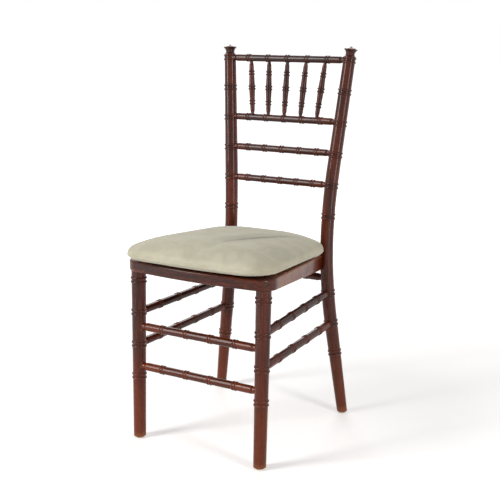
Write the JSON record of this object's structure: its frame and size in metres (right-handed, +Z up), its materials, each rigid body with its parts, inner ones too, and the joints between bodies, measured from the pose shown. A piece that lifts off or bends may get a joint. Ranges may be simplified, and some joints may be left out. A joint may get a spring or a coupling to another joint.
{
  "type": "chiavari chair",
  "caption": "Turned wooden side chair with bamboo-like beads, rail and spindle back, sloping framed seat, rungs between the legs and a loose crowned seat cushion.",
  "frame": {"origin": "on the floor, under the middle of the chair's width and depth", "axes": "+Z up, the chair faces -Y, +X to the right of someone looking along +Y at its front"},
  "size_m": [0.3951, 0.4903, 0.9141],
  "materials": {
    "lacquered_wood": "dark mahogany stain under gloss lacquer",
    "plywood": "plain plywood",
    "zinc_steel": "zinc plated",
    "glide_plastic": "pale nylon",
    "cushion_suede": "ivory suede cloth with a short nap",
    "cushion_foam": "open cell foam",
    "under_cloth": "black dust cloth",
    "pad_tape": "black hook and loop tape"
  },
  "bodies": {
    "chair_frame": {"front_leg_left": "lacquered_wood", "front_leg_right": "lacquered_wood", "back_post_left": "lacquered_wood", "back_post_right": "lacquered_wood", "back_rail_top": "lacquered_wood", "back_rail_second": "lacquered_wood", "back_rail_third": "lacquered_wood", "back_rail_fourth": "lacquered_wood", "spindle_1": "lacquered_wood", "spindle_2": "lacquered_wood", "spindle_3": "lacquered_wood", "spindle_4": "lacquered_wood", "spindle_5": "lacquered_wood", "side_rung_upper_left": "lacquered_wood", "side_rung_upper_right": "lacquered_wood", "side_rung_lower_left": "lacquered_wood", "side_rung_lower_right": "lacquered_wood", "front_rung_upper": "lacquered_wood", "front_rung_lower": "lacquered_wood", "rear_rung": "lacquered_wood", "seat_front_rail": "lacquered_wood", "seat_side_rail_left": "lacquered_wood", "seat_side_rail_right": "lacquered_wood", "seat_rear_rail": "lacquered_wood", "bolt_plugs": "lacquered_wood", "seat_board": "lacquered_wood", "seat_board_screws": "zinc_steel", "leg_screws": "zinc_steel", "seat_bolts": "zinc_steel", "barrel_nuts": "zinc_steel", "glide_nails": "zinc_steel", "glide_front_left": "glide_plastic", "glide_front_right": "glide_plastic", "glide_rear_left": "glide_plastic", "glide_rear_right": "glide_plastic", "loop_pads": "pad_tape"},
    "cushion": {"cushion_cover": "cushion_suede", "cushion_foam": "cushion_foam", "cushion_base_board": "plywood", "cushion_under_cloth": "under_cloth", "hook_pads": "pad_tape"}
  },
  "joints": [
    {"name": "cushion_lift", "type": "slide", "parent": "chair_frame", "child": "cushion", "axis": [0, 0, 1], "range_m": [0, 0.5]}
  ]
}
